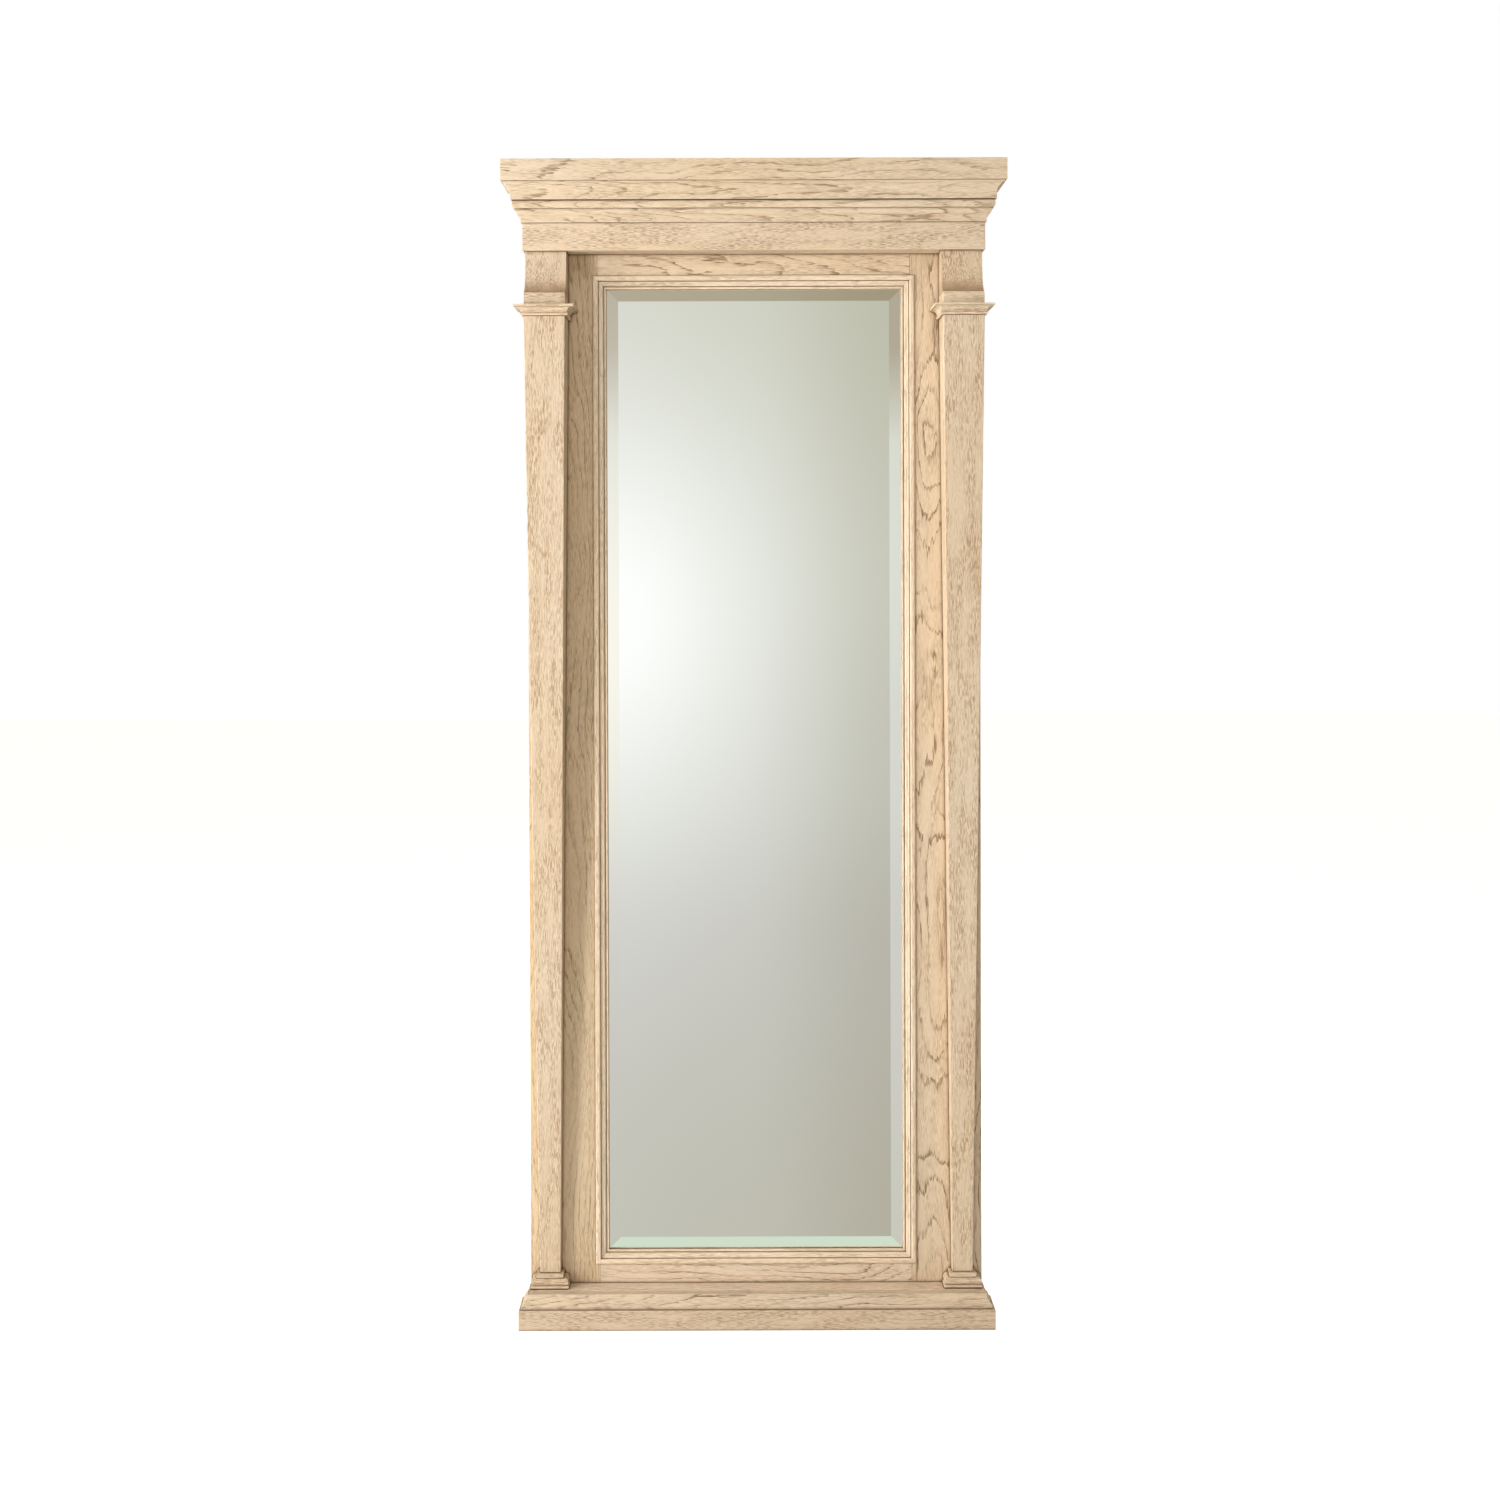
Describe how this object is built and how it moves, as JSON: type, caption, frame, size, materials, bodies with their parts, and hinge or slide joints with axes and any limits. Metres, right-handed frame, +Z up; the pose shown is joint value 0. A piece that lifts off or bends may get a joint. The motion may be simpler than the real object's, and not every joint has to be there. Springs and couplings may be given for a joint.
{
  "type": "full-length floor mirror",
  "caption": "Full-length bevelled floor mirror in an oak frame with a stepped cornice, tapering pilasters and a moulded base; hanging rings behind.",
  "frame": {"origin": "on the floor, at the middle of the bounding box", "axes": "+Z up, the glass faces -Y, +X to the right seen from the front"},
  "size_m": [0.9192, 0.1324, 2.134],
  "materials": {
    "limed_oak": "limed and waxed, satin",
    "secondary_wood": "bare, planed",
    "hardboard": "smooth one side",
    "silvered_glass": "polished, bevelled",
    "screw_steel": "yellow zinc",
    "zinc_steel": "bright zinc",
    "bumper_rubber": "matt"
  },
  "bodies": {
    "mirror_frame": {"back_cross_board_bottom": "secondary_wood", "back_cross_board_top": "secondary_wood", "back_panel": "hardboard", "back_panel_screws": "screw_steel", "backing_board": "hardboard", "base_cap_front": "limed_oak", "base_cap_return_left": "limed_oak", "base_cap_return_right": "limed_oak", "base_front": "limed_oak", "base_glue_blocks": "secondary_wood", "base_ledge": "limed_oak", "base_return_left": "limed_oak", "base_return_right": "limed_oak", "bottom_rail": "limed_oak", "capital_left": "limed_oak", "capital_right": "limed_oak", "corbel_left": "limed_oak", "corbel_right": "limed_oak", "corner_blocks": "secondary_wood", "crown_front": "limed_oak", "crown_return_left": "limed_oak", "crown_return_right": "limed_oak", "frieze_front": "limed_oak", "frieze_return_left": "limed_oak", "frieze_return_right": "limed_oak", "glass_batten_bottom": "secondary_wood", "glass_batten_left": "secondary_wood", "glass_batten_right": "secondary_wood", "glass_batten_top": "secondary_wood", "glass_moulding_bottom": "limed_oak", "glass_moulding_left": "limed_oak", "glass_moulding_right": "limed_oak", "glass_moulding_top": "limed_oak", "hanger_plate_left": "zinc_steel", "hanger_plate_right": "zinc_steel", "hanger_screws": "screw_steel", "mirror_glass": "silvered_glass", "pilaster_neck_left": "limed_oak", "pilaster_neck_right": "limed_oak", "pilaster_shaft_left": "limed_oak", "pilaster_shaft_right": "limed_oak", "plinth_fillet_left": "limed_oak", "plinth_fillet_right": "limed_oak", "plinth_foot_left": "limed_oak", "plinth_foot_right": "limed_oak", "side_board_left": "limed_oak", "side_board_right": "limed_oak", "soffit_board": "limed_oak", "stile_left": "limed_oak", "stile_right": "limed_oak", "top_board": "limed_oak", "top_rail": "limed_oak", "wall_bumpers": "bumper_rubber"},
    "ring_left": {"d_ring_left": "zinc_steel"},
    "ring_right": {"d_ring_right": "zinc_steel"}
  },
  "joints": [
    {"name": "ring_left_swing", "type": "hinge", "parent": "mirror_frame", "child": "ring_left", "pos_m": [-0.355, 0.0488, 1.7], "axis": [1, 0, 0], "range_deg": [-4, 180]},
    {"name": "ring_right_swing", "type": "hinge", "parent": "mirror_frame", "child": "ring_right", "pos_m": [0.355, 0.0488, 1.7], "axis": [1, 0, 0], "range_deg": [-4, 180]}
  ]
}
